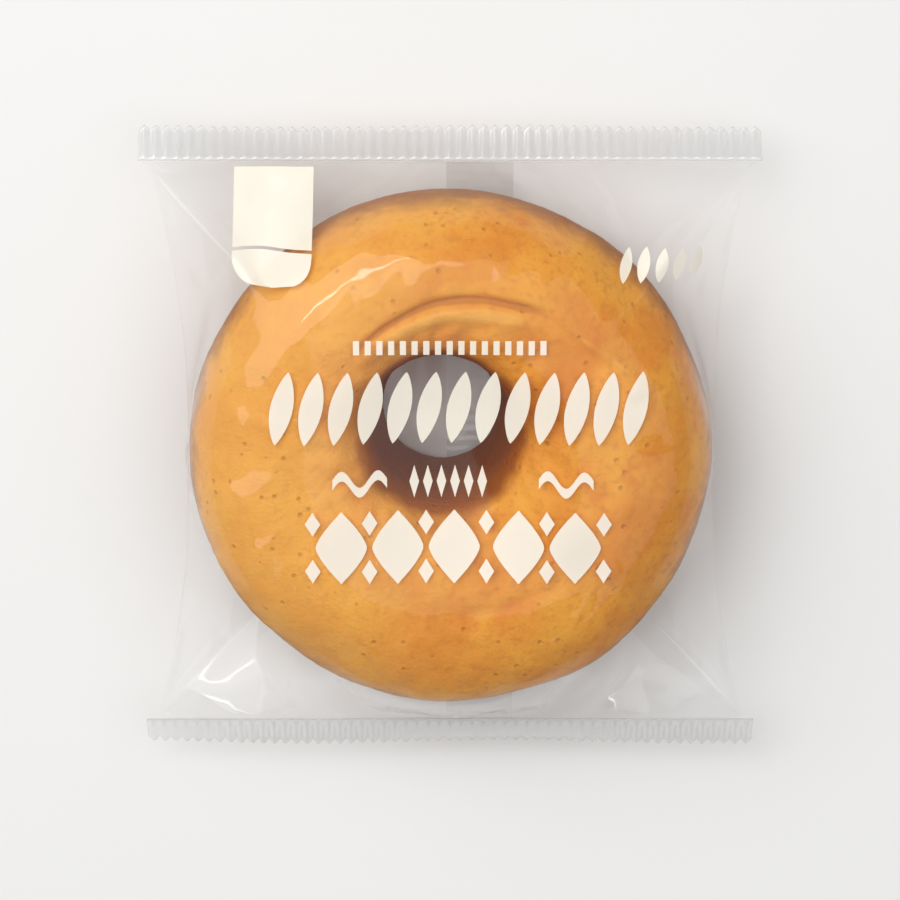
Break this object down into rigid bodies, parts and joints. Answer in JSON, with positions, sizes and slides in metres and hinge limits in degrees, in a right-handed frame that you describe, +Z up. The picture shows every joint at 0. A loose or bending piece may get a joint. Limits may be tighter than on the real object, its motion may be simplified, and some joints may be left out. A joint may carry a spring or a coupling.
{
  "type": "film-wrapped baked ring doughnut",
  "caption": "Golden baked ring doughnut lying flat, shut in its own clear film wrapper with crimped end seals and white printing on top.",
  "frame": {"origin": "on the floor, under the middle of the ring", "axes": "+Z up through the ring's hole, +Y and -Y to the crimped end seals, +X and -X to the wrapper's folded sides"},
  "size_m": [0.088, 0.0922, 0.027],
  "materials": {
    "baked_crust": "soft golden cake crust, finely pored, with a faint oily sheen",
    "clear_film": "clear glossy polypropylene film, lightly wrinkled",
    "white_ink": "thin opaque white printing ink on film"
  },
  "bodies": {
    "root": {"wrapped_doughnut": "baked_crust"}
  },
  "joints": []
}
